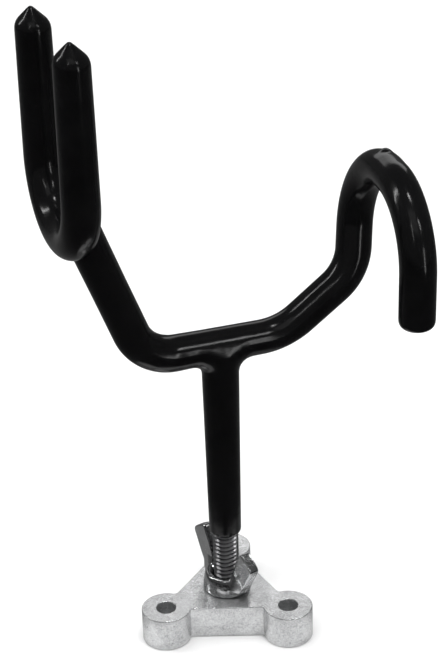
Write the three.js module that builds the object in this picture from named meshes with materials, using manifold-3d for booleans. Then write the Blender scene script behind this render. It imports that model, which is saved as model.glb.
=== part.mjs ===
// Dip-coated rod holder: a fork and a rear hook on one bent arm, welded to a threaded stem that
// screws into a three-eared base plate and is locked by a wing nut.
// Millimetres. Origin: underside centre of the base plate. +X runs along the arm from fork to
// hook, +Y points away from the hook's free leg, +Z is up along the stem.
import * as THREE from "three";
import { ConvexGeometry } from "three/addons/geometries/ConvexGeometry.js";
import { mergeVertices } from "three/addons/utils/BufferGeometryUtils.js";
import Module from "manifold-3d";

const wasm = await Module();
wasm.setup();

const DEG = Math.PI / 180;
const INCH = 25.4;

// Clearance left between pieces that touch on the real object.
const GAP = 0.3;

// Steel rod and its coating.
const ROD_R = (3 / 8) * INCH / 2;
const COAT_R = 6.25;
const SIDES = 24;

// Base plate: half-inch plate, three 9/32 inch holes on one circle, an ear round each.
const PLATE_T = INCH / 2;
const HOLE_R = (9 / 32) * INCH / 2;
const HOLE_CIRCLE_R = 25.9;
const EAR_R = 9;
const EDGE_OUT = 1.1; // web edge, outside the line joining two hole centres
const EAR_FILLET_R = 1.8;
const BASE_TURN = -20 * DEG;
const REAR_EAR_ANGLE = 90 * DEG;
const THREAD_FLOOR = 2; // metal left under the blind threaded hole

// Thread on the stem: 3/8-16, modelled as ring-shaped ridges.
const PITCH = INCH / 16;
const ROOT_R = 3.95;
const THREAD_START = THREAD_FLOOR + 1;
const THREAD_TURNS = 26;
const LEAD_IN = 0.5;
const CREST_FLAT = 0.2;

// Arm: corner points (x, y, z) of the bent rod and the bend radius at each inner corner.
const STEM_TOP = 115.3; // height of the arm's centre line above the stem
const ARM_END = [-46.4, 0, 166.2];
const ARM_CORNERS = [
  ARM_END,
  [-28, 0, 115.8],
  [23.5, 0, STEM_TOP],
  [49.9, 0, 134.7],
  [56.5, 9.8, 179.8],
  [51.5, -50.2, 179.8],
  [51.5, -50.2, 138],
];
const ARM_BENDS = [16.8, 24.9, 19.8, 24.6, 24.6];

// Fork: a U nearly square to the arm. Bent by hand: the prong on the -Y side is a little longer,
// and the plane is turned a trifle.
const FORK_X = -52.3;
const FORK_HALF = 21.6;
const FORK_TURN_X = 0.3;
const FORK_BOTTOM = 167.5;
const FORK_BEND = 21.3;
const FORK_COAT_R = 6.5;
const PRONG_TOPS = [
  [FORK_X - FORK_TURN_X, FORK_HALF, 233],
  [FORK_X + FORK_TURN_X, -FORK_HALF, 235.1],
];
const FORK_CORNERS = [
  PRONG_TOPS[0],
  [FORK_X - FORK_TURN_X, FORK_HALF, FORK_BOTTOM],
  [FORK_X + FORK_TURN_X, -FORK_HALF, FORK_BOTTOM],
  PRONG_TOPS[1],
];
const FORK_BENDS = [FORK_BEND, FORK_BEND];

// Coating ends: drips on the prong tips, a rounded flat end on the hook's leg, a tapered stem.
const DRIP_H = 6.4;
const LEG_END_COAT = 1.6;
const LEG_CORNER_R = 2.2;
const STEM_COAT_BOTTOM = 38;
const STEM_COAT_LOW_R = 5.85;
const STEM_COAT_TOP_R = 6.6;
const FLARE_R = 9.2; // coating fillet where the stem meets the arm
// The coat is modelled in lengths; this is the height of the joint between arm and hook.
const HOOK_JOINT_Z = 141;

// Wing nut. Each wing is thick at its root and thins out upwards and outwards.
const NUT_TURN = -76 * DEG;
const HUB_R = 8.8;
const HUB_H = 7.2;
const HUB_TOP_R = 7.4;
const COUNTERSINK = 0.9;
const WING_T = 3.8;
const WING_BEVEL = 0.5;
// One wing in its own plane, as [distance from the stem's axis, height in the nut]: up its outer
// edge, over the rounded tip and down its inner edge.
const WING_OUTER = [[2, 1.2], [9.4, 1.2], [11, 2.8], [12.4, 5], [15.5, 10.1], [17.3, 13.4]];
const WING_TIP = [[18.9, 16.2], [17, 18.2], [15.2, 19.5], [12.2, 21.6], [11.2, 19.8]];
const WING_INNER = [[9, 15.7], [7.9, 13], [6.6, 9.6], [5.8, 7], [2, 6.2]];
// Corners of the wedge that thickens the root, as [distance, height, thickness].
const ROOT_T = 8.4;
const ROOT_WEDGE = [
  [0, 1, ROOT_T], [7.2, 1, ROOT_T], [0, 5, ROOT_T], [7.2, 5, ROOT_T],
  [15, 1, WING_T], [15, 6, WING_T], [0, 10.5, WING_T], [10, 10.5, WING_T],
];

// Weld beads.
const BEAD_R = 6.1;
const BEAD_LEG = 2.6;

// ---- Helpers ----

const vec = (p) => new THREE.Vector3(p[0], p[1], p[2]);

// The centre line of a rod bent to a radius at each corner. It has one station at each end of
// a straight and several round each bend, so the straights stay single facets.
class BentLine extends THREE.Curve {
  constructor(corners, bends, perBend) {
    super();
    this.at = [];
    this.along = [];
    const c = corners.map(vec);
    const add = (point, dir) => {
      this.at.push(point);
      this.along.push(dir.clone().normalize());
    };
    add(c[0], c[1].clone().sub(c[0]));
    for (let i = 1; i < c.length - 1; i++) {
      const back = c[i - 1].clone().sub(c[i]).normalize();
      const on = c[i + 1].clone().sub(c[i]).normalize();
      const half = back.angleTo(on) / 2;
      const r = bends[i - 1];
      const toCentre = back.clone().add(on).normalize().multiplyScalar(r / Math.sin(half));
      const centre = c[i].clone().add(toCentre);
      const out = c[i].clone().addScaledVector(back, r / Math.tan(half)).sub(centre);
      const dir = back.clone().negate();
      const swing = Math.PI - 2 * half;
      const n = Math.max(2, Math.round((perBend * swing) / (Math.PI / 2)));
      for (let k = 0; k <= n; k++) {
        const a = (swing * k) / n;
        add(
          centre.clone().addScaledVector(out, Math.cos(a)).addScaledVector(dir, r * Math.sin(a)),
          dir.clone().multiplyScalar(r * Math.cos(a)).addScaledVector(out, -Math.sin(a)),
        );
      }
    }
    const last = c.length - 1;
    add(c[last], c[last].clone().sub(c[last - 1]));
    this.steps = this.at.length - 1;
  }
  getUtoTmapping(u) {
    return u;
  }
  getPoint(t) {
    const s = Math.min(t * this.steps, this.steps - 1e-9);
    const i = Math.floor(s);
    return this.at[i].clone().lerp(this.at[i + 1], s - i);
  }
  getTangent(t) {
    const s = Math.min(t * this.steps, this.steps - 1e-9);
    const i = Math.floor(s);
    return this.along[i].clone().lerp(this.along[i + 1], s - i).normalize();
  }
}

function disc(radius) {
  const shape = new THREE.Shape();
  shape.absarc(0, 0, radius, 0, 2 * Math.PI, false);
  return shape;
}

function rodAlong(line, radius) {
  return new THREE.ExtrudeGeometry(disc(radius), {
    steps: line.steps,
    curveSegments: SIDES / 2,
    extrudePath: line,
    bevelEnabled: false,
  });
}

// A turned piece about Z: profile points are [radius, height].
function turned(profile, sides = SIDES) {
  const points = profile.map(([r, z]) => new THREE.Vector2(r, z));
  return new THREE.LatheGeometry(points, sides).rotateX(Math.PI / 2);
}

// Same, standing at a point and turned so that its +Z runs along a direction.
function turnedAt(profile, point, direction) {
  const q = new THREE.Quaternion();
  q.setFromUnitVectors(new THREE.Vector3(0, 0, 1), vec(direction).normalize());
  return turned(profile).applyQuaternion(q).translate(point[0], point[1], point[2]);
}

function block(size, centre) {
  return new THREE.BoxGeometry(...size).translate(...centre);
}

function solid(geometry) {
  const g = geometry.clone();
  g.deleteAttribute("normal");
  g.deleteAttribute("uv");
  const merged = mergeVertices(g, 1e-4);
  const index = new Uint32Array(merged.index.array);
  const mesh = new wasm.Mesh({
    numProp: 3,
    vertProperties: new Float32Array(merged.attributes.position.array),
    triVerts: index,
  });
  return new wasm.Manifold(mesh);
}

const group = new THREE.Group();
function place(name, body, colour, roughness, metalness) {
  const mesh = body.getMesh();
  const g = new THREE.BufferGeometry();
  g.setAttribute("position", new THREE.BufferAttribute(new Float32Array(mesh.vertProperties), 3));
  g.setIndex(new THREE.BufferAttribute(new Uint32Array(mesh.triVerts), 1));
  g.computeVertexNormals();
  const look = new THREE.MeshStandardMaterial({ color: colour, roughness, metalness });
  const node = new THREE.Mesh(g, look);
  node.name = name;
  group.add(node);
}

// ---- Base plate ----

function earCentre(k) {
  const a = REAR_EAR_ANGLE + (k * 2 * Math.PI) / 3;
  return new THREE.Vector2(HOLE_CIRCLE_R * Math.cos(a), HOLE_CIRCLE_R * Math.sin(a));
}

// Plan outline, going round anticlockwise: for each ear its own arc, then the small fillet, the
// straight web edge and the fillet into the next ear.
function plateOutline() {
  const shape = new THREE.Shape();
  const reach = EAR_R + EAR_FILLET_R;
  const rise = EDGE_OUT + EAR_FILLET_R;
  const run = Math.sqrt(reach * reach - rise * rise);
  const tilt = Math.atan2(rise, run);
  for (let k = 0; k < 3; k++) {
    const here = earCentre(k);
    const next = earCentre(k + 1);
    const edge = Math.atan2(next.y - here.y, next.x - here.x);
    const lastEdge = edge - (2 * Math.PI) / 3;
    shape.absarc(here.x, here.y, EAR_R, lastEdge + Math.PI + tilt - 2 * Math.PI, edge - tilt, false);
    const fillet = (centre, along) =>
      new THREE.Vector2(along * run, -rise).rotateAround(new THREE.Vector2(), edge).add(centre);
    const a = fillet(here, 1);
    shape.absarc(a.x, a.y, EAR_FILLET_R, edge - tilt + Math.PI, edge + Math.PI / 2, true);
    const b = fillet(next, -1);
    shape.absarc(b.x, b.y, EAR_FILLET_R, edge + Math.PI / 2, edge + tilt, true);
  }
  return shape;
}

let plate = solid(
  new THREE.ExtrudeGeometry(plateOutline(), { depth: PLATE_T, curveSegments: 14, bevelEnabled: false }),
);
for (let k = 0; k < 3; k++) {
  const c = earCentre(k);
  const drill = [[0, -1], [HOLE_R, -1], [HOLE_R, PLATE_T + 1], [0, PLATE_T + 1]];
  plate = plate.subtract(solid(turned(drill).translate(c.x, c.y, 0)));
}
const STEM_BORE_R = ROD_R + GAP;
const stemBore = [
  [0, THREAD_FLOOR], [STEM_BORE_R, THREAD_FLOOR], [STEM_BORE_R, PLATE_T + 1], [0, PLATE_T + 1],
];
plate = plate.subtract(solid(turned(stemBore)));
plate = plate.rotate([0, 0, BASE_TURN / DEG]);
place("base_plate", plate, 0xb9bbbd, 0.38, 0.9);

// ---- Wing nut ----

// Hub: a short skirt, a slight cone and a flat top round the thread.
const hub = solid(
  turned([
    [0, 0], [HUB_R - 0.4, 0], [HUB_R, 0.5], [HUB_R, 2.2], [HUB_R - 0.4, 4.6],
    [HUB_TOP_R + 0.4, HUB_H - 0.6], [HUB_TOP_R, HUB_H], [0, HUB_H],
  ], 32),
);

function wingOutline() {
  const s = new THREE.Shape(WING_OUTER.map(([x, y]) => new THREE.Vector2(x, y)));
  const [outer, top, back, inner, end] = WING_TIP;
  s.quadraticCurveTo(...outer, ...top);
  s.lineTo(...back);
  s.quadraticCurveTo(...inner, ...end);
  for (const point of WING_INNER) s.lineTo(...point);
  return s;
}
function wingSlab(thickness, bevel) {
  return new THREE.ExtrudeGeometry(wingOutline(), {
    depth: thickness - 2 * bevel,
    curveSegments: 6,
    bevelThickness: bevel,
    bevelSize: bevel,
    bevelOffset: -bevel,
    bevelSegments: 1,
  })
    .translate(0, 0, -thickness / 2 + bevel)
    .rotateX(Math.PI / 2);
}
// The root's wedge is trimmed to the wing's outline.
const rootCorners = ROOT_WEDGE.flatMap(([x, z, t]) => [vec([x, t / 2, z]), vec([x, -t / 2, z])]);
const root = solid(new ConvexGeometry(rootCorners)).intersect(solid(wingSlab(ROOT_T + 1, WING_BEVEL)));
const wing = solid(wingSlab(WING_T, WING_BEVEL)).add(root);
let nut = hub.add(wing).add(wing.rotate([0, 0, 180]));
const nutBore = [
  [0, -1], [STEM_BORE_R, -1], [STEM_BORE_R, HUB_H - COUNTERSINK], [STEM_BORE_R + COUNTERSINK, HUB_H],
  [STEM_BORE_R, HUB_H + 0.1], [STEM_BORE_R, HUB_H + 20], [0, HUB_H + 20],
];
nut = nut.subtract(solid(turned(nutBore)));
nut = nut.rotate([0, 0, NUT_TURN / DEG]).translate([0, 0, PLATE_T + GAP]);
place("wing_nut", nut, 0x9a9c9f, 0.25, 1);

// ---- Steel rods ----

const BEND_STEPS = 9;
const armLine = new BentLine(ARM_CORNERS, ARM_BENDS, BEND_STEPS);
const forkLine = new BentLine(FORK_CORNERS, FORK_BENDS, BEND_STEPS);

// The space a rod takes, with the gap round it and past both of its ends.
function roomFor(line) {
  let room = solid(rodAlong(line, ROD_R + GAP));
  const last = line.steps;
  for (const [point, out] of [
    [line.at[0], line.along[0].clone().negate()],
    [line.at[last], line.along[last]],
  ]) {
    const plug = [[0, -2], [ROD_R + GAP, -2], [ROD_R + GAP, GAP], [0, GAP]];
    room = room.add(solid(turnedAt(plug, point.toArray(), out.toArray())));
  }
  return room;
}
const forkRoom = roomFor(forkLine);
const armRoom = roomFor(armLine);

place("fork_rod", solid(rodAlong(forkLine, ROD_R)), 0x6d6f72, 0.4, 1);
place("arm_rod", solid(rodAlong(armLine, ROD_R)).subtract(forkRoom), 0x6d6f72, 0.4, 1);

function stemProfile() {
  const p = [[0, THREAD_START], [ROOT_R - LEAD_IN, THREAD_START]];
  const start = THREAD_START + LEAD_IN;
  for (let k = 0; k < THREAD_TURNS; k++) {
    const z = start + k * PITCH;
    p.push([ROOT_R, z], [ROD_R, z + (PITCH - CREST_FLAT) / 2], [ROD_R, z + (PITCH + CREST_FLAT) / 2]);
  }
  const end = start + THREAD_TURNS * PITCH;
  p.push([ROOT_R, end], [ROD_R, end + PITCH / 2], [ROD_R, STEM_TOP], [0, STEM_TOP]);
  return p;
}
const stem = solid(turned(stemProfile())).subtract(armRoom);
place("stem_rod", stem, 0x8d8f93, 0.3, 1);

// ---- Weld beads ----

// A bead is a ring round the end of one rod, cut to the surface of the rod it is welded to.
const beadProfile = (height, grow) => [
  [ROD_R + GAP - grow, -height - grow],
  [ROD_R + GAP + 0.25, -height - grow],
  [BEAD_R + grow, -height + BEAD_LEG - grow],
  [BEAD_R + grow, 0],
  [ROD_R + GAP - grow, 0],
  [ROD_R + GAP - grow, -height - grow],
];
const STEM_BEAD = 8;
const stemBeadAt = [0, 0, STEM_TOP];
const up = [0, 0, 1];
const stemBead = solid(turnedAt(beadProfile(STEM_BEAD, 0), stemBeadAt, up));
place("stem_weld", stemBead.subtract(armRoom), 0x77797c, 0.55, 0.9);
const stemBeadRoom = solid(turnedAt(beadProfile(STEM_BEAD, GAP), stemBeadAt, up));

const armRise = vec(ARM_CORNERS[0]).sub(vec(ARM_CORNERS[1])).normalize();
const FORK_BEAD = 6;
const forkBeadDir = armRise.toArray();
const forkBead = solid(turnedAt(beadProfile(FORK_BEAD, 0), ARM_END, forkBeadDir));
place("fork_weld", forkBead.subtract(forkRoom), 0x77797c, 0.55, 0.9);
const forkBeadRoom = solid(turnedAt(beadProfile(FORK_BEAD, GAP), ARM_END, forkBeadDir));

// ---- Coating ----

// The rods are dipped as one piece. The coat is modelled in four lengths that end at the welds
// and on the upright of the hook.
const COAT = [0x101113, 0.28, 0];

const dripProfile = [
  [0, -8], [FORK_COAT_R, -8], [FORK_COAT_R, 0], [FORK_COAT_R - 0.5, 1.2],
  [FORK_COAT_R * 0.62, DRIP_H * 0.6], [FORK_COAT_R * 0.2, DRIP_H * 0.94], [0, DRIP_H],
];
const armSkin = solid(rodAlong(armLine, COAT_R));
let forkSkin = solid(rodAlong(forkLine, FORK_COAT_R));
for (const top of PRONG_TOPS) {
  forkSkin = forkSkin.add(solid(turned(dripProfile).translate(...top)));
}
// Swelling of the coat over the fork's weld, measured along the arm from the fork's rod.
const SWELL_R = 7.2;
const SWELL_START = -13;
const SWELL_FULL = -8;
const swell = solid(
  turnedAt(
    [
      [0, SWELL_START], [COAT_R, SWELL_START], [SWELL_R, SWELL_FULL],
      [SWELL_R, 0.4], [5, 2.2], [0, 2.8],
    ],
    ARM_END, forkBeadDir,
  ),
);
const forkCoat = forkSkin.add(swell);
place(
  "fork_coating",
  forkCoat.subtract(forkRoom).subtract(forkBeadRoom).subtract(armRoom),
  ...COAT,
);

// Everything of the arm's coat above this plane belongs to the hook.
const FAR = 200;
const HOOK_FROM_X = 30;
const LEG_FROM_Y = -20;
const overJoint = block([FAR, FAR, FAR], [HOOK_FROM_X + FAR / 2, 0, HOOK_JOINT_Z + FAR / 2]);
const roundLeg = block([FAR, FAR / 2, FAR], [HOOK_FROM_X + FAR / 2, LEG_FROM_Y - FAR / 4, HOOK_JOINT_Z]);
const hookSpace = solid(overJoint).add(solid(roundLeg));
const GROWN = COAT_R + GAP;
const forkKeepOut = solid(rodAlong(forkLine, FORK_COAT_R + GAP)).add(
  solid(turnedAt(
    [
      [0, SWELL_START - GAP], [GROWN, SWELL_START - GAP], [SWELL_R + GAP, SWELL_FULL],
      [SWELL_R + GAP, 1], [0, 4],
    ],
    ARM_END, forkBeadDir,
  )),
);
const stemRoom = solid(
  turned([[0, 20], [STEM_BORE_R, 20], [STEM_BORE_R, STEM_TOP], [0, STEM_TOP]]),
);
const armCoat = armSkin
  .subtract(hookSpace)
  .subtract(armRoom)
  .subtract(forkKeepOut)
  .subtract(stemRoom)
  .subtract(stemBeadRoom);
place("arm_coating", armCoat, ...COAT);

// Hook: the rest of the skin, with a rounded flat end under the leg.
const legEnd = ARM_CORNERS[ARM_CORNERS.length - 1];
const legProfile = [
  [0, -LEG_END_COAT],
  [COAT_R - LEG_CORNER_R, -LEG_END_COAT],
  [COAT_R - LEG_CORNER_R * 0.3, -LEG_END_COAT + LEG_CORNER_R * 0.3],
  [COAT_R, -LEG_END_COAT + LEG_CORNER_R],
  [COAT_R, 6],
  [0, 6],
];
const legCap = solid(turned(legProfile).translate(...legEnd));
const hookCoat = armSkin.add(legCap).intersect(hookSpace.translate([0, 0, GAP])).subtract(armRoom);
place("hook_coating", hookCoat, ...COAT);

// Stem: tapers down to a thin rounded lip on the thread, and flares into the arm.
const stemCoatProfile = [
  [0, STEM_COAT_BOTTOM],
  [STEM_BORE_R + 0.25, STEM_COAT_BOTTOM],
  [STEM_COAT_LOW_R - 0.3, STEM_COAT_BOTTOM + 2.2],
  [STEM_COAT_LOW_R, STEM_COAT_BOTTOM + 5],
  [STEM_COAT_TOP_R, STEM_TOP - 14],
  [STEM_COAT_TOP_R + 0.7, STEM_TOP - 10],
  [FLARE_R - 0.9, STEM_TOP - 7.5],
  [FLARE_R, STEM_TOP - 5.6],
  [0, STEM_TOP - 5.6],
];
const armGrown = solid(rodAlong(armLine, GROWN));
const stemCoat = solid(turned(stemCoatProfile))
  .subtract(armGrown)
  .subtract(stemRoom)
  .subtract(stemBeadRoom);
place("stem_coating", stemCoat, ...COAT);

export default group;
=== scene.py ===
import math

import bmesh
import bpy
import numpy as np
from mathutils import Matrix, Vector


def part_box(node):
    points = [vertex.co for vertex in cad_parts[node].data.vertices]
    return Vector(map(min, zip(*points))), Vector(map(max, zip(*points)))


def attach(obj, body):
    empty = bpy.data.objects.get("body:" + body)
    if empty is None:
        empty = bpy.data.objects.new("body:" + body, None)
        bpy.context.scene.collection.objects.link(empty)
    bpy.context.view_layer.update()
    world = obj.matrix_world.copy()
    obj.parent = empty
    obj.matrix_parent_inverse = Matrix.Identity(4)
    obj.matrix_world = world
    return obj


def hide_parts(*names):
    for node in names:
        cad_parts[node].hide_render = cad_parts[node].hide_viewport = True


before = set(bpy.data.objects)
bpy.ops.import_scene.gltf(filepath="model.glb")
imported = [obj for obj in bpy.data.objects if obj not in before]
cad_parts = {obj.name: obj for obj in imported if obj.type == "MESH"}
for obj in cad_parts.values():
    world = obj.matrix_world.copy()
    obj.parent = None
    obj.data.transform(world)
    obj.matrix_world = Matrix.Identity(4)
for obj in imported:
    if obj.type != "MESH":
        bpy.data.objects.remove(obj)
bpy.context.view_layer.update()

MM = 0.001
FULL_TURN = 2 * math.pi


# ---- Sizes of the rods and their coat, in millimetres ----

ROD_R = 4.7625
COAT_R = 6.25
LIP_Z = 37.4

# Corner points of the bent arm and the radius of each bend.
ARM = [
    (-46.2, 0, 166.2), (-27.8, 0, 115.8), (23.7, 0, 115.2), (50.2, 0, 134.6),
    (56.4, 9.8, 179.8), (51.5, -50.2, 179.8), (51.5, -50.2, 138),
]
ARM_BENDS = [16.8, 24.9, 19.8, 24.6, 24.6]

# The fork: where each prong stands, its tip, and the height of the U's bottom.
PRONGS = [(-52.6, 21.6, 239.4), (-52.0, -21.6, 241.5)]
FORK_BOTTOM = 167.5
FORK_BEND = 21.3

# Pointed end of a prong: height of the cone, how far its point leans, and how round it is.
CONE_H = 6.4
TIP_LEAN = 0.3
TIP_RISE = 0.5
TIP_ROUND = 0.25

# Radius of the dipped coat, against the length along the arm from the fork, against the height
# of the fork, and against the height of the stem.
ARM_SKIN = [
    (0, 6.55), (22, 6.45), (45, 6.5), (58, 6.6), (72, 6.3), (88, 6.15), (104, 6.05), (126, 6.2),
    (142, 6.4), (168, 6.35), (186, 6.22), (214, 6.15), (240, 6.2), (255, 6.2), (290, 6.1),
]
FORK_SKIN = [(165, 6.5), (185, 6.4), (215, 6.15), (235, 5.95)]
STEM_SKIN = [(38, 5.85), (50, 6.0), (64, 6.15), (88, 6.42), (103, 6.6)]

# A small drip on the crest of the hook.
DRIP_R = 1.9
DRIP_Y = -16.0
DRIP_SHIFT = 1.0
DRIP_SINK = 1.6

# How far the coat rounds each edge or fills each corner, and how far the stem's own coat stops
# under the arm's axis.
LEG_EDGE = 3.4
TIP_EDGE = 1.6
LIP_EDGE = 1.8
STEM_TOP_EDGE = 3.0
STEM_TOP_SINK = 2
FORK_FILL = 1.6
STEM_FILL = 5.6
DRIP_FILL = 1.4

# How far round a rod's axis, and below a prong's tip, the shape of its end is worked out.
END_REACH = 12
TIP_REACH = 20

ROD_STEP = 0.9
SKIN_CELL = 0.55


def corners_mm(node):
    lo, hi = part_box(node)
    return np.array(lo) / MM, np.array(hi) / MM


# ---- Node material helpers ----

# Sockets of the colour form of the Mix node.
MIX_FACTOR, MIX_A, MIX_B, MIX_RESULT = 0, 6, 7, 2


def new_material(name):
    material = bpy.data.materials.new(name)
    material.use_nodes = True
    return material, material.node_tree, material.node_tree.nodes["Principled BSDF"]


def set_inputs(node, **values):
    for key, value in values.items():
        node.inputs[key.replace("_", " ")].default_value = value


def connect(tree, value, socket):
    """Links value to socket, or sets it there if it is a constant."""
    if isinstance(value, (int, float, tuple)):
        socket.default_value = value
    else:
        tree.links.new(value, socket)


def object_coords(tree, scale=(1, 1, 1)):
    source = tree.nodes.new("ShaderNodeTexCoord")
    mapping = tree.nodes.new("ShaderNodeMapping")
    mapping.inputs["Scale"].default_value = scale
    tree.links.new(source.outputs["Object"], mapping.inputs["Vector"])
    return mapping.outputs["Vector"]


def noise(tree, vector, scale, detail=3.0, roughness=0.5):
    node = tree.nodes.new("ShaderNodeTexNoise")
    set_inputs(node, Scale=scale, Detail=detail, Roughness=roughness)
    tree.links.new(vector, node.inputs["Vector"])
    return node.outputs["Fac"]


def ramp(tree, value, stops):
    """Colours or grey levels at positions along value."""
    node = tree.nodes.new("ShaderNodeValToRGB")
    elements = node.color_ramp.elements
    for element, (position, level) in zip(elements, stops, strict=True):
        element.position = position
        element.color = (*level, 1) if isinstance(level, tuple) else (level, level, level, 1)
    tree.links.new(value, node.inputs["Fac"])
    return node.outputs["Color"]


def math_node(tree, operation, a, b):
    node = tree.nodes.new("ShaderNodeMath")
    node.operation = operation
    for socket, value in zip(node.inputs, (a, b)):
        connect(tree, value, socket)
    return node.outputs[0]


def mix_colours(tree, factor, a, b, blend="MIX"):
    node = tree.nodes.new("ShaderNodeMix")
    node.data_type, node.blend_type = "RGBA", blend
    for index, value in ((MIX_FACTOR, factor), (MIX_A, a), (MIX_B, b)):
        connect(tree, value, node.inputs[index])
    return node.outputs[MIX_RESULT]


def bump(tree, shader, height, strength, distance, below=None):
    node = tree.nodes.new("ShaderNodeBump")
    set_inputs(node, Strength=strength, Distance=distance)
    tree.links.new(height, node.inputs["Height"])
    if below is not None:
        tree.links.new(below, node.inputs["Normal"])
    tree.links.new(node.outputs["Normal"], shader.inputs["Normal"])
    return node.outputs["Normal"]


# ---- Materials ----

def coating_material():
    material, tree, shader = new_material("dipped_vinyl")
    vector = object_coords(tree)
    set_inputs(shader, Metallic=0.0, Specular_IOR_Level=0.28)
    shade = ramp(
        tree, noise(tree, vector, scale=90, detail=4),
        [(0.3, (0.0022, 0.0022, 0.0024)), (0.75, (0.004, 0.004, 0.0043))],
    )
    gloss = ramp(
        tree, noise(tree, vector, scale=160, detail=5, roughness=0.6), [(0.3, 0.12), (0.7, 0.2)],
    )
    tree.links.new(shade, shader.inputs["Base Color"])
    tree.links.new(gloss, shader.inputs["Roughness"])
    waves = noise(tree, vector, scale=110, detail=2)
    grain = noise(tree, vector, scale=2600, detail=3)
    low = bump(tree, shader, waves, strength=0.25, distance=0.0006)
    bump(tree, shader, grain, strength=0.06, distance=0.0001, below=low)
    return material


def aluminium_material():
    material, tree, shader = new_material("mill_aluminium")
    vector = object_coords(tree)
    grain = noise(tree, vector, scale=1500, detail=5, roughness=0.75)
    patch = noise(tree, vector, scale=120, detail=5, roughness=0.65)
    patch_share = 0.35
    both = math_node(
        tree, "ADD",
        math_node(tree, "MULTIPLY", patch, patch_share),
        math_node(tree, "MULTIPLY", grain, 1 - patch_share),
    )
    low_end, high_end = 0.36, 0.64
    set_inputs(shader, Metallic=0.78)
    tint = ramp(
        tree, both, [(low_end, (0.37, 0.375, 0.38)), (high_end, (0.74, 0.745, 0.75))],
    )
    pits = ramp(
        tree, noise(tree, vector, scale=1000, detail=2, roughness=0.6), [(0.36, 0.82), (0.46, 1.0)],
    )
    pitted = mix_colours(tree, 1.0, tint, pits, blend="MULTIPLY")
    tree.links.new(pitted, shader.inputs["Base Color"])
    gloss = ramp(tree, both, [(low_end, 0.3), (high_end, 0.16)])
    tree.links.new(gloss, shader.inputs["Roughness"])
    lines_along_x = (1, 14, 1)
    scratches = noise(tree, object_coords(tree, lines_along_x), scale=260, detail=4, roughness=0.7)
    low = bump(tree, shader, patch, strength=0.12, distance=0.0005)
    fine = bump(tree, shader, grain, strength=0.2, distance=0.0003, below=low)
    bump(tree, shader, scratches, strength=0.08, distance=0.0002, below=fine)
    return material


def metal_material(name, tint, rough_lo, rough_hi):
    material, tree, shader = new_material(name)
    vector = object_coords(tree)
    patch = noise(tree, vector, scale=240, detail=4, roughness=0.55)
    set_inputs(shader, Metallic=1.0)
    dark_share = 0.82
    dark = tuple(dark_share * c for c in tint)
    shade = ramp(tree, patch, [(0.3, dark), (0.7, tint)])
    gloss = ramp(
        tree, noise(tree, vector, scale=900, detail=5, roughness=0.6),
        [(0.3, rough_lo), (0.7, rough_hi)],
    )
    tree.links.new(shade, shader.inputs["Base Color"])
    tree.links.new(gloss, shader.inputs["Roughness"])
    grain = noise(tree, vector, scale=2200, detail=4)
    low = bump(tree, shader, patch, strength=0.22, distance=0.0005)
    bump(tree, shader, grain, strength=0.1, distance=0.0001, below=low)
    return material


def thread_material():
    """Metal with painted shade that darkens it towards the bottom of each groove."""
    material = metal_material("thread_steel", (0.27, 0.27, 0.275), 0.28, 0.4)
    tree = material.node_tree
    colour = tree.nodes["Principled BSDF"].inputs["Base Color"]
    depth = tree.nodes.new("ShaderNodeAttribute")
    depth.attribute_name = "groove"
    steel = colour.links[0].from_socket
    # Painted shade: the dark colour mixed in towards the bottom of each groove.
    painted_groove_shade = (0.05, 0.05, 0.052, 1)
    tree.links.new(mix_colours(tree, depth.outputs["Fac"], steel, painted_groove_shade), colour)
    return material


MAT_COAT = coating_material()
MAT_PLATE = aluminium_material()
MAT_NUT = metal_material("bright_zinc", (0.5, 0.505, 0.51), 0.14, 0.24)
MAT_THREAD = thread_material()
MAT_ROD = metal_material("drawn_steel", (0.45, 0.45, 0.46), 0.3, 0.45)
MAT_WELD = metal_material("weld_metal", (0.3, 0.3, 0.31), 0.45, 0.65)


# ---- Mesh helpers ----

def finish_piece(obj, body, slot_name, material, *nodes):
    """Smooths obj, gives it its material, and puts it on body in place of the CAD nodes."""
    obj.data.materials.clear()
    obj.data.materials.append(material)
    obj.data.polygons.foreach_set("use_smooth", [True] * len(obj.data.polygons))
    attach(obj, body)
    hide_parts(*nodes)


def add_object(name, data):
    obj = bpy.data.objects.new(name, data)
    bpy.context.scene.collection.objects.link(obj)
    return obj


def mesh_from(name, verts, faces):
    mesh = bpy.data.meshes.new(name)
    mesh.from_pydata([tuple(v) for v in verts], [], faces)
    mesh.update()
    return mesh


def evaluated_mesh(obj):
    depsgraph = bpy.context.evaluated_depsgraph_get()
    return bpy.data.meshes.new_from_object(obj.evaluated_get(depsgraph), depsgraph=depsgraph)


def remesh(obj, voxel):
    """Merges the shells of obj into one even surface."""
    modifier = obj.modifiers.new("remesh", "REMESH")
    modifier.mode = "VOXEL"
    modifier.voxel_size = voxel
    merged = evaluated_mesh(obj)
    obj.modifiers.clear()
    obj.data = merged


def coords(mesh):
    flat = np.empty(len(mesh.vertices) * 3)
    mesh.vertices.foreach_get("co", flat)
    return flat.reshape(-1, 3)


def settle(obj, field, rounds, limit):
    """Moves every vertex of obj on to the zero surface of field, in steps of at most limit.

    field takes and gives millimetres."""
    p = coords(obj.data) / MM
    h = 0.02
    least_slope = 0.3
    for _ in range(rounds):
        near = {}
        d = field(p, near)
        g = np.stack(
            [(field(p + h * e, near) - field(p - h * e, near)) / (2 * h) for e in np.eye(3)],
            axis=1,
        )
        size = np.maximum((g * g).sum(1), least_slope)
        p -= np.clip(d / size, -limit, limit)[:, None] * g
    obj.data.vertices.foreach_set("co", (p * MM).ravel())
    obj.data.update()


def cells_round(edge, u, w, du, dw):
    """The grid cell at an offset of du and dw from each grid edge."""
    cell = edge.copy()
    cell[:, u] += du
    cell[:, w] += dw
    return cell


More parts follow.
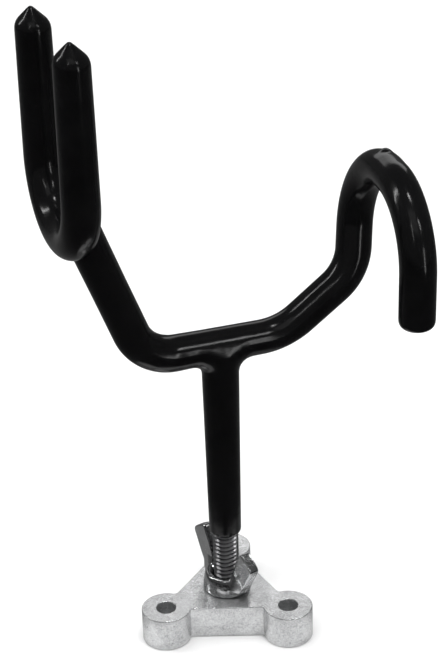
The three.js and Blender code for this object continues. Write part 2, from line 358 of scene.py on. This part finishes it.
def cell_mesh(name, field, lo, hi, step, place):
    """The zero surface of field over a box, one vertex for each grid cell that it crosses.

    field takes points in a local frame, and place turns those into the part's frame."""
    axes = [np.arange(a, b + step, step) for a, b in zip(lo, hi)]
    grid = np.stack(np.meshgrid(*axes, indexing="ij"), axis=-1)
    d = field(grid.reshape(-1, 3)).reshape(grid.shape[:3])
    shape = tuple(n - 1 for n in d.shape)
    total, count = np.zeros((*shape, 3)), np.zeros(shape)
    crossings = []
    for axis in range(3):
        low = [slice(None)] * 3
        high = [slice(None)] * 3
        low[axis], high[axis] = slice(0, -1), slice(1, None)
        a, b = d[tuple(low)], d[tuple(high)]
        edge = np.argwhere((a < 0) != (b < 0))
        va, vb = a[tuple(edge.T)], b[tuple(edge.T)]
        point = grid[tuple(edge.T)].copy()
        point[:, axis] += step * va / (va - vb)
        crossings.append((axis, edge, va < 0))
        u, w = [k for k in range(3) if k != axis]
        for du in (0, -1):
            for dw in (0, -1):
                cell = cells_round(edge, u, w, du, dw)
                ok = np.all((cell >= 0) & (cell < shape), axis=1)
                np.add.at(total, tuple(cell[ok].T), point[ok])
                np.add.at(count, tuple(cell[ok].T), 1)
    number = np.full(shape, -1)
    used = np.argwhere(count > 0)
    number[tuple(used.T)] = np.arange(len(used))
    verts = total[tuple(used.T)] / count[tuple(used.T)][:, None]
    faces = []
    for axis, edge, starts_inside in crossings:
        u, w = (axis + 1) % 3, (axis + 2) % 3
        quads = np.stack([
            number[tuple(cells_round(edge, u, w, du, dw).T)]
            for du, dw in ((0, 0), (-1, 0), (-1, -1), (0, -1))
        ], axis=1)
        quads[~starts_inside] = quads[~starts_inside][:, ::-1]
        faces += [tuple(int(i) for i in quad) for quad in quads]
    return add_object(name, mesh_from(name, place(verts) * MM, faces))


def band_faces(first, second, sides):
    """Faces between two rings of vertices, given the number of each ring's first vertex."""
    faces = []
    for j in range(sides):
        after = (j + 1) % sides
        faces.append((first + j, first + after, second + after, second + j))
    return faces


def ring_faces(rings, sides):
    """Faces between every ring of vertices and the next one."""
    bands = (band_faces(k * sides, (k + 1) * sides, sides) for k in range(rings - 1))
    return [face for band in bands for face in band]


def end_faces(verts, sides):
    """Faces that close the first and the last ring of a tube."""
    return [tuple(reversed(range(sides))), tuple(range(len(verts) - sides, len(verts)))]


def bent_line(corners, bends, step):
    """Points along a rod bent to a radius at each inner corner."""
    c = [np.array(p, float) for p in corners]
    points = [c[0]]
    for i, r in enumerate(bends, 1):
        back = (c[i - 1] - c[i]) / np.linalg.norm(c[i - 1] - c[i])
        on = (c[i + 1] - c[i]) / np.linalg.norm(c[i + 1] - c[i])
        half = math.acos(np.clip(back @ on, -1, 1)) / 2
        mid = (back + on) / np.linalg.norm(back + on)
        centre = c[i] + mid * r / math.sin(half)
        out = c[i] + back * r / math.tan(half) - centre
        swing = math.pi - 2 * half
        n = max(2, int(r * swing / step))
        for k in range(n + 1):
            a = swing * k / n
            points.append(centre + out * math.cos(a) - back * r * math.sin(a))
    points.append(c[-1])
    return np.array(points)


def tube_mesh(path, radii, sides=12):
    """A closed tube along path, as verts and faces; radii is one number or one for each point."""
    verts = []
    radii = np.broadcast_to(radii, len(path))
    ahead = np.gradient(path, axis=0)
    ahead /= np.linalg.norm(ahead, axis=1)[:, None]
    off_axis = [0.3, 0.9, 0.2]
    side = np.cross(ahead[0], off_axis)
    for p, d, radius in zip(path, ahead, radii):
        side = side - d * (side @ d)
        side /= np.linalg.norm(side)
        other = np.cross(d, side)
        for j in range(sides):
            a = FULL_TURN * j / sides
            verts.append(p + radius * (math.cos(a) * side + math.sin(a) * other))
    return verts, ring_faces(len(path), sides) + end_faces(verts, sides)


def joined(name, parts):
    verts, faces = [], []
    for v, f in parts:
        n = len(verts)
        verts += [np.array(x) * MM for x in v]
        faces += [tuple(i + n for i in face) for face in f]
    return add_object(name, mesh_from(name, verts, faces))


# ---- Distance fields, in millimetres ----

# Points handled at once: on the first look at every stretch, and on later looks at a few.
FIRST_CHUNK = 4096
LATER_CHUNK = 65536
NEIGHBOURS = np.arange(-2, 3)


def path_distance(p, path, key, near):
    """Distance from each point of p to the polyline path, and how far along the path that is.

    The nearest stretch of each point is kept in near[key], and a later call looks only there."""
    a, ab = path[:-1], np.diff(path, axis=0)
    length2 = (ab * ab).sum(1)
    so_far = np.concatenate([[0], np.cumsum(np.sqrt(length2))])
    first = key not in near
    if first:
        near[key] = np.empty(len(p), int)
    out, along = np.empty(len(p)), np.empty(len(p))
    chunk = FIRST_CHUNK if first else LATER_CHUNK
    for i in range(0, len(p), chunk):
        part = slice(i, i + chunk)
        if first:
            which = np.arange(len(a))[None]
        else:
            which = np.clip(near[key][part][:, None] + NEIGHBOURS, 0, len(a) - 1)
        q = p[part][:, None, :] - a[which]
        s = np.clip((q * ab[which]).sum(2) / length2[which], 0, 1)
        r = q - s[..., None] * ab[which]
        d2 = (r * r).sum(2)
        best = d2.argmin(1)
        row = np.arange(len(best))
        stretch = np.broadcast_to(which, d2.shape)[row, best]
        if first:
            near[key][part] = stretch
        out[part] = np.sqrt(d2[row, best])
        along[part] = so_far[stretch] + s[row, best] * np.sqrt(length2[stretch])
    return out, along


def soft_min(a, b, k):
    """The smaller of a and b, with the crease rounded where they differ by less than k."""
    h = np.maximum(k - np.abs(a - b), 0) / k
    return np.minimum(a, b) - h * h * k / 4


def soft_max(a, b, k):
    return -soft_min(-a, -b, k)


def outline_distance(x, y, outline):
    """Signed distance to a closed outline of (x, y) points, negative inside."""
    v = np.array(outline, float)
    w = np.roll(v, -1, axis=0)
    best = np.full(x.shape, np.inf)
    inside = np.zeros(x.shape, bool)
    for (ax, ay), (bx, by) in zip(v, w):
        ex, ey = bx - ax, by - ay
        s = np.clip(((x - ax) * ex + (y - ay) * ey) / (ex * ex + ey * ey), 0, 1)
        best = np.minimum(best, np.hypot(x - ax - s * ex, y - ay - s * ey))
        if ay != by:
            crosses = ((ay > y) != (by > y)) & (x < (bx - ax) * (y - ay) / (by - ay) + ax)
            inside ^= crosses
    return np.where(inside, -best, best)


# ---- The dipped skin: one continuous surface over fork, arm, hook and stem ----

def fork_tube():
    """The line of the fork's rod from point to point, and a radius at each of its points.

    The prongs' ends are rough here: settle() gives them their exact shape."""
    corners = []
    for x, y, top in PRONGS:
        leg = [(x, y, top - 0.8 * CONE_H), (x, y, FORK_BOTTOM)]
        corners += leg if y > 0 else leg[::-1]
    line = bent_line(corners, [FORK_BEND] * 2, ROD_STEP)
    peak = (-TIP_LEAN, 0, 0.75 * CONE_H)
    line = np.concatenate([line[:1] + peak, line, line[-1:] + peak])
    point_r = 0.3
    return line, np.array([point_r, *[COAT_R] * (len(line) - 2), point_r])


def build_skin():
    arm = bent_line(ARM, ARM_BENDS, ROD_STEP)
    fork, fork_radii = fork_tube()
    leg_x, leg_y, _ = ARM[-1]
    leg_end = corners_mm("hook_coating")[0][2]
    stem_top = ARM[2][2]
    hook_rise, hook_fall = ARM[4], ARM[5]
    drip = np.array([
        (hook_rise[0] + hook_fall[0]) / 2 + DRIP_SHIFT, DRIP_Y, hook_rise[2] + COAT_R - DRIP_SINK,
    ])

    def field(p, near):
        x, y, z = p.T
        off, along = path_distance(p, arm, "arm", near)
        d_arm = off - np.interp(along, *zip(*ARM_SKIN))
        near_leg = np.hypot(x - leg_x, y - leg_y) < END_REACH
        d_arm = np.where(near_leg, soft_max(d_arm, leg_end - z, LEG_EDGE), d_arm)
        off, _ = path_distance(p, fork, "fork", near)
        d_fork = off - np.interp(z, *zip(*FORK_SKIN))
        for px, py, top in PRONGS:
            rho = np.sqrt((x - px + TIP_LEAN) ** 2 + (y - py) ** 2 + TIP_ROUND)
            slope = math.hypot(CONE_H, COAT_R)
            cone = (CONE_H * rho + COAT_R * (z - top - TIP_RISE)) / slope
            here = (rho < END_REACH) & (z > top - TIP_REACH)
            d_fork = np.where(here, soft_max(d_fork, cone, TIP_EDGE), d_fork)
        d_stem = soft_max(np.hypot(x, y) - np.interp(z, *zip(*STEM_SKIN)), LIP_Z - z, LIP_EDGE)
        d_stem = soft_max(d_stem, z - stem_top + STEM_TOP_SINK, STEM_TOP_EDGE)
        d_drip = np.linalg.norm(p - drip, axis=1) - DRIP_R
        d = soft_min(d_arm, d_fork, FORK_FILL)
        d = soft_min(d, d_stem, STEM_FILL)
        return soft_min(d, d_drip, DRIP_FILL)

    stem = np.array([(0, 0, LIP_Z), (0, 0, stem_top)])
    skin = joined("vinyl_skin", [
        tube_mesh(arm, COAT_R), tube_mesh(fork, fork_radii), tube_mesh(stem, COAT_R),
    ])
    remesh(skin, SKIN_CELL * MM)
    settle(skin, field, rounds=8, limit=0.8)
    finish_piece(
        skin, "holder", "coating", MAT_COAT,
        "fork_coating", "arm_coating", "hook_coating", "stem_coating",
    )


# ---- The stem with its real helical thread ----

PITCH = 1.74
THREAD_DEPTH = 0.82
THREAD_SIDES = 72
THREAD_ROWS_PER_TURN = 14
# Shares of half a pitch: the flat crest, and the flank below it.
CREST_SHARE = 0.1
FLANK_SHARE = 0.78
# Length and depth of the taper at the lower end.
TAPER_LEN = 1.2
TAPER_DEPTH = 1.0
# How far the thread runs on under the coat, and where the plain rod above it ends.
THREAD_UNDER_COAT = 6
SHANK_R = ROD_R - 0.05
SHANK_TOP_GAP = 3


def build_stem():
    lo, hi = corners_mm("stem_rod")
    start, end = lo[2], LIP_Z + THREAD_UNDER_COAT
    sides = THREAD_SIDES
    rows = int((end - start) / PITCH * THREAD_ROWS_PER_TURN)
    verts, groove = [], []
    for k in range(rows + 1):
        z = start + (end - start) * k / rows
        for j in range(sides):
            a = FULL_TURN * j / sides
            phase = (z / PITCH - a / FULL_TURN) % 1
            v = min(1.0, max(0.0, (abs(2 * phase - 1) - CREST_SHARE) / FLANK_SHARE))
            fade = min(1.0, (z - start) / TAPER_LEN)
            r = ROD_R - THREAD_DEPTH * v * fade - TAPER_DEPTH * (1 - fade) * (1 - v)
            verts.append((r * math.cos(a), r * math.sin(a), z))
            groove.append(v * v)
    for j in range(sides):
        a = FULL_TURN * j / sides
        verts.append((SHANK_R * math.cos(a), SHANK_R * math.sin(a), hi[2] - SHANK_TOP_GAP))
        groove.append(0.0)
    faces = ring_faces(rows + 2, sides) + end_faces(verts, sides)
    mesh = mesh_from("threaded_stem", [np.array(v) * MM for v in verts], faces)
    # How deep each point lies in its groove, which sets how much painted shade the thread gets
    # there.
    mesh.attributes.new("groove", "FLOAT", "POINT").data.foreach_set("value", groove)
    stem = add_object("threaded_stem", mesh)
    finish_piece(stem, "holder", "rod_steel", MAT_THREAD, "stem_rod")


# ---- Forged wing nut ----

NUT_TURN = math.radians(-76)
NUT_CELL = 0.2
NUT_BORE_R = ROD_R + 0.12
HUB_R = 8.8
# Side of the hub: distance from the axis, and height in the nut.
HUB = [
    (8.45, 0), (8.8, 0.4), (8.8, 1.7), (8.62, 3.2), (8.35, 4.7), (8.1, 5.7), (7.8, 6.5),
    (7.35, 7.0), (6.3, 7.1), (5.0, 5.9),
]
# One wing in its own plane: distance from the axis, and height in the nut.
WING = [
    (0, 1.6), (9.8, 1.6), (11.2, 2.8), (12.4, 4.9), (13.9, 7.2), (15.5, 10.0), (17.2, 13.2),
    (18.2, 15.0), (18.5, 15.9), (18.4, 16.7), (17.9, 17.4), (17.1, 18.1), (15.8, 19.0),
    (14.4, 19.9), (13.2, 20.6), (12.4, 20.9), (11.8, 20.8), (11.3, 20.2), (10.3, 18.1),
    (9.0, 15.8), (7.9, 13.0), (6.7, 9.8), (5.9, 7.2), (0, 6.2),
]
# Half the thickness of a wing, and of its root; the root ends at these two distances, outwards
# and upwards, and thins over the lengths before them.
WING_HALF = 1.9
ROOT_HALF = 4.3
ROOT_OUT, ROOT_OUT_RUN = 12.6, 5.2
ROOT_UP, ROOT_UP_RUN = 9.5, 6
# Brings the flank's slope down a little, so that its rounded edge is wider.
FLANK_SCALE = 0.9
WING_EDGE = 0.55
WING_FILL = 0.35
BORE_EDGE = 0.5
FOOT_EDGE = 0.3


def build_nut():
    base = corners_mm("wing_nut")[0][2]
    c, s = math.cos(NUT_TURN), math.sin(NUT_TURN)
    inner = -9
    hub_outline = [(inner, 0), *HUB, (inner, HUB[-1][1])]

    def field(p):
        along, across, z = np.abs(p[:, 0]), p[:, 1], p[:, 2]
        rho = np.hypot(along, across)
        hub = outline_distance(rho, z, hub_outline)
        root = np.clip((ROOT_OUT - along) / ROOT_OUT_RUN, 0, 1)
        root *= np.clip((ROOT_UP - z) / ROOT_UP_RUN, 0, 1)
        half = WING_HALF + (ROOT_HALF - WING_HALF) * root
        flank = FLANK_SCALE * (np.abs(across) - half)
        wing = soft_max(outline_distance(along, z, WING), flank, WING_EDGE)
        d = soft_min(hub, wing, WING_FILL)
        d = soft_max(d, NUT_BORE_R - rho, BORE_EDGE)
        return soft_max(d, -z, FOOT_EDGE)

    def place(p):
        x, y, z = p.T
        return np.stack([x * c - y * s, x * s + y * c, z + base], axis=1)

    margin = 1
    reach, height = (max(point[k] for point in WING) + margin for k in (0, 1))
    width = HUB_R + margin
    lo, hi = (-reach, -width, -margin), (reach, width, height)
    nut = cell_mesh("forged_wing_nut", field, lo, hi, NUT_CELL, place)
    finish_piece(nut, "nut", "nut_metal", MAT_NUT, "wing_nut")


# ---- Base plate with broken edges ----

EARS = 3
HOLE_CIRCLE_R = 25.9
HOLE_R = 3.57
EAR_R = 9.0
EDGE_OUT = 1.1
FILLET_R = 1.8
BORE_R = ROD_R + 0.3
BORE_FLOOR = 2.0
BASE_TURN = math.radians(-20)
PLATE_BEVEL = 0.28
HOLE_SIDES = 64
EAR_POINTS = 60
FILLET_POINTS = 10
SHARP_ANGLE = math.radians(32)


def arc(cx, cy, r, start, end, n):
    return [(cx + r * math.cos(a), cy + r * math.sin(a)) for a in np.linspace(start, end, n)]


def circle(cx, cy, r):
    """A clockwise circle, as the fill of a curve needs round a hole."""
    return arc(cx, cy, r, 0, -FULL_TURN * (HOLE_SIDES - 1) / HOLE_SIDES, HOLE_SIDES)


def ear_centre(k):
    a = math.radians(90 + 360 / EARS * k) + BASE_TURN
    return HOLE_CIRCLE_R * math.cos(a), HOLE_CIRCLE_R * math.sin(a)


def plate_outline():
    reach, rise = EAR_R + FILLET_R, EDGE_OUT + FILLET_R
    run = math.sqrt(reach * reach - rise * rise)
    tilt = math.atan2(rise, run)
    third = FULL_TURN / EARS
    points = []
    for k in range(EARS):
        (cx, cy), (nx, ny) = ear_centre(k), ear_centre(k + 1)
        e = math.atan2(ny - cy, nx - cx)

        def fillet_centre(x, y, along):
            u, v = along * run, -rise
            return x + u * math.cos(e) - v * math.sin(e), y + u * math.sin(e) + v * math.cos(e)

        first, second = fillet_centre(cx, cy, 1), fillet_centre(nx, ny, -1)
        square = e + math.pi / 2
        points += arc(cx, cy, EAR_R, e - third - math.pi + tilt, e - tilt, EAR_POINTS)
        points += arc(*first, FILLET_R, e - tilt + math.pi, square, FILLET_POINTS)[1:]
        points += arc(*second, FILLET_R, square, e + tilt, FILLET_POINTS)[:-1]
    return points


def close_bore(mesh, bottom):
    """Closes the lower end of the threaded hole with a floor, level with the plate's underside."""
    b = bmesh.new()
    b.from_mesh(mesh)
    ring = circle(0, 0, BORE_R + PLATE_BEVEL)
    lower, upper = (
        [b.verts.new((x * MM, y * MM, z * MM)) for x, y in ring] for z in (bottom, BORE_FLOOR)
    )
    b.faces.new(lower)
    b.faces.new(upper[::-1])
    for k in range(len(ring)):
        b.faces.new((lower[k], lower[k - 1], upper[k - 1], upper[k]))
    b.to_mesh(mesh)
    b.free()


def build_plate():
    lo, hi = corners_mm("base_plate")
    curve = bpy.data.curves.new("plate_curve", "CURVE")
    curve.dimensions = "2D"
    curve.fill_mode = "BOTH"
    curve.extrude = ((hi[2] - lo[2]) / 2 - PLATE_BEVEL) * MM
    curve.bevel_depth = PLATE_BEVEL * MM
    curve.offset = -PLATE_BEVEL * MM
    curve.bevel_resolution = 3
    holes = [circle(*ear_centre(k), HOLE_R) for k in range(EARS)]
    for loop in [plate_outline(), circle(0, 0, BORE_R), *holes]:
        spline = curve.splines.new("POLY")
        spline.points.add(len(loop) - 1)
        for point, (x, y) in zip(spline.points, loop):
            point.co = (x * MM, y * MM, 0, 1)
        spline.use_cyclic_u = True
    source = add_object("plate_curve_object", curve)
    mesh = evaluated_mesh(source)
    bpy.data.objects.remove(source)
    mesh.transform(Matrix.Translation((0, 0, (lo[2] + hi[2]) / 2 * MM)))
    close_bore(mesh, lo[2])
    plate = add_object("three_ear_plate", mesh)
    finish_piece(plate, "base", "base_metal", MAT_PLATE, "base_plate")
    mesh.set_sharp_from_angle(angle=SHARP_ANGLE)


build_skin()
build_stem()
build_nut()
build_plate()
for node, material in (
    ("arm_rod", MAT_ROD), ("fork_rod", MAT_ROD), ("stem_weld", MAT_WELD), ("fork_weld", MAT_WELD),
):
    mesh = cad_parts[node].data
    mesh.materials.clear()
    mesh.materials.append(material)


# ---- Camera, at the photo's viewing angle ----

# The camera stands 19.2 degrees round from the arm's own front.
VIEW_TURN = Matrix.Rotation(math.radians(-19.2), 3, "Z")
CAMERA_AT = (0.00118, -0.58725, 0.43905)
CAMERA_PITCH = math.radians(28.41)
CAMERA_ROLL = math.radians(-1.72)
FOCAL_PX = 1925.0
PHOTO_HEIGHT_PX = 659
SENSOR_MM = 36.0


def around(x, y, z):
    """A point given with X to the camera's right and Y away from it."""
    return tuple(VIEW_TURN @ Vector((x, y, z)))


def make_camera():
    data = bpy.data.cameras.new("camera")
    data.sensor_width = SENSOR_MM
    data.lens = FOCAL_PX * SENSOR_MM / PHOTO_HEIGHT_PX
    data.clip_start, data.clip_end = 0.01, 20
    cam = add_object("camera", data)
    right = Vector((1, 0, 0))
    up = Vector((0, math.sin(CAMERA_PITCH), math.cos(CAMERA_PITCH)))
    ahead = Vector((0, math.cos(CAMERA_PITCH), -math.sin(CAMERA_PITCH)))
    cam_right = math.cos(CAMERA_ROLL) * right + math.sin(CAMERA_ROLL) * up
    cam_up = math.cos(CAMERA_ROLL) * up - math.sin(CAMERA_ROLL) * right
    basis = Matrix((cam_right, cam_up, -ahead)).transposed()
    cam.matrix_world = Matrix.Translation(around(*CAMERA_AT)) @ (VIEW_TURN @ basis).to_4x4()
    bpy.context.scene.camera = cam


# ---- Floor and light, in metres ----

FLOOR_R = 2.4
FLOOR_SINK = 0.0002
WALL_BEND_R = 0.8
WALL_TOP = 2.8
WALL_BEND_STEPS = 12
FLOOR_SIDES = 96


def stage_floor():
    """A round pale floor that turns up into a wall all round; reflections see the floor only."""
    material, tree, shader = new_material("pale_floor")
    set_inputs(shader, Roughness=0.9, Specular_IOR_Level=0.0)
    mottle = noise(tree, object_coords(tree), scale=3, detail=2)
    tone = ramp(tree, mottle, [(0.3, 0.9), (0.7, 0.92)])
    tree.links.new(tone, shader.inputs["Base Color"])
    turns = [math.pi / 2 * k / WALL_BEND_STEPS for k in range(WALL_BEND_STEPS + 1)]
    wall = [
        (FLOOR_R + WALL_BEND_R * math.sin(a), WALL_BEND_R - WALL_BEND_R * math.cos(a))
        for a in turns
    ]
    wall.append((FLOOR_R + WALL_BEND_R, WALL_TOP))
    middle = (0.01, 0.0)
    for name, profile in (("floor", [middle, wall[0]]), ("backdrop", wall)):
        spokes = [FULL_TURN * k / FLOOR_SIDES for k in range(FLOOR_SIDES)]
        verts = [
            (r * math.cos(a), r * math.sin(a), z - FLOOR_SINK) for r, z in profile for a in spokes
        ]
        faces = ring_faces(len(profile), FLOOR_SIDES)
        if name == "floor":
            faces.append(tuple(range(FLOOR_SIDES)))
        sheet = add_object(name, mesh_from(name, verts, faces))
        sheet.data.polygons.foreach_set("use_smooth", [True] * len(faces))
        sheet.data.materials.append(material)
        sheet.visible_glossy = name == "floor"


# The card that only reflections see: its number of sides, its height over the floor, its radii,
# and the width of the step from its bright zone to its dark one.
CARD_SIDES = 72
CARD_Z = 0.0004
CARD_INNER_R, CARD_OUTER_R = 0.03, 2.5
CARD_STEP = 0.004
# Brightness of the bright zone on the camera's side, and its drop behind the part; the drop
# starts at this share of the way behind and takes as much again.
NEAR_LEVEL, NEAR_DROP = 0.9, 0.68
DROP_FROM = 0.25
# Brightness of the dark zone on the camera's side, and its rise behind the part.
FAR_LEVEL, FAR_RISE = 0.012, 0.14
# Radius of the bright zone in front, and what is added at the sides and behind.
ZONE_R, ZONE_SIDES, ZONE_BEHIND = 0.042, 0.015, 0.018
ZONE_SIDE_SLOPE = 3


def reflector_card():
    """A ring on the floor that only reflections see: bright near the part and dark beyond.

    Its bright zone is dimmer behind the part, and its dark one paler there."""
    material, tree, shader = new_material("reflector_card")
    set_inputs(shader, Roughness=1.0, Specular_IOR_Level=0.0)
    level = tree.nodes.new("ShaderNodeAttribute")
    level.attribute_name = "level"
    tree.links.new(level.outputs["Fac"], shader.inputs["Base Color"])
    n = CARD_SIDES
    turns = [FULL_TURN * k / n for k in range(n)]
    behind = [0.5 - 0.5 * math.cos(a) for a in turns]
    near = [
        NEAR_LEVEL - NEAR_DROP * min(1, max(0, (b - DROP_FROM) / DROP_FROM)) for b in behind
    ]
    far = [FAR_LEVEL + FAR_RISE * b * b for b in behind]
    edge = [
        ZONE_R + ZONE_SIDES * min(1, ZONE_SIDE_SLOPE * abs(math.sin(a))) + ZONE_BEHIND * b
        for a, b in zip(turns, behind)
    ]
    rings = (
        ([CARD_INNER_R] * n, near), (edge, near),
        ([r + CARD_STEP for r in edge], far), ([CARD_OUTER_R] * n, far),
    )
    verts = [
        around(r * math.sin(a), -r * math.cos(a), CARD_Z)
        for radii, _ in rings for a, r in zip(turns, radii)
    ]
    mesh = mesh_from("reflector_card", verts, ring_faces(len(rings), n))
    tone = [value for _, levels in rings for value in levels]
    mesh.attributes.new("level", "FLOAT", "POINT").data.foreach_set("value", tone)
    mesh.materials.append(material)
    card = add_object("reflector_card", mesh)
    card.visible_camera = card.visible_diffuse = card.visible_shadow = False


def area_light(name, at, aim, width, height, power):
    data = bpy.data.lights.new(name, "AREA")
    data.shape = "RECTANGLE"
    data.size, data.size_y = width, height
    data.energy = power
    light = add_object(name, data)
    light.location = at
    light.rotation_mode = "QUATERNION"
    light.rotation_quaternion = (Vector(aim) - Vector(at)).to_track_quat("-Z", "Y")
    return light


AIM_Z = 0.12

# Lamps aimed at the arm: azimuth from the camera's side towards its right, elevation, distance,
# width, height, and power in watts.
LAMPS = (
    ("right_lamp", 45, 43, 0.9, 0.06, 0.18, 0.45),
    ("right_low_strip", 40, 5, 0.8, 0.05, 0.4, 0.5),
    ("front_left_strip", -17, 37, 1.0, 0.025, 0.3, 0.25),
    ("left_strip", -98, 38, 1.0, 0.07, 0.6, 2.0),
    ("top_lamp", 60, 80, 1.2, 0.12, 0.12, 1.2),
    ("back_panel", 180, 28, 1.4, 1.4, 0.4, 2.6),
    ("front_panel", 0, 52, 1.2, 0.8, 0.6, 0.7),
)
# Two small lamps close over the thread, facing down, that only the bright metal reflects:
# place to the right and away, and power in watts.
THREAD_LAMPS = (("thread_left", -0.0194, 0.0043, 0.007), ("thread_right", 0.034, 0.002, 0.005))
THREAD_LAMP_Z = 0.062
THREAD_LAMP_SIZE = 0.012
# The soft light overhead, a little to the camera's side: place, height, size, power in watts.
SKY_Y, SKY_Z, SKY_SIZE, SKY_POWER = -0.1, 1.9, 1.8, 42
WORLD_STRENGTH = 0.1


def lamp(name, azimuth, elevation, distance, width, height, power):
    az, el = math.radians(azimuth), math.radians(elevation)
    flat = distance * math.cos(el)
    at = around(flat * math.sin(az), -flat * math.cos(az), AIM_Z + distance * math.sin(el))
    light = area_light(name, at, around(0, 0, AIM_Z), width, height, power)
    light.visible_camera = False


def make_lights():
    for row in LAMPS:
        lamp(*row)
    size = THREAD_LAMP_SIZE
    for name, x, y, power in THREAD_LAMPS:
        light = area_light(name, around(x, y, THREAD_LAMP_Z), around(x, y, 0), size, size, power)
        light.visible_camera = light.visible_diffuse = False
    sky = area_light(
        "sky", around(0, SKY_Y, SKY_Z), around(0, 0, AIM_Z), SKY_SIZE, SKY_SIZE, SKY_POWER,
    )
    sky.visible_glossy = False
    world = bpy.data.worlds.new("studio")
    bpy.context.scene.world = world
    world.use_nodes = True
    set_inputs(world.node_tree.nodes["Background"], Color=(1, 1, 1, 1), Strength=WORLD_STRENGTH)


stage_floor()
reflector_card()
make_camera()
make_lights()
bpy.context.scene.view_settings.view_transform = "Standard"
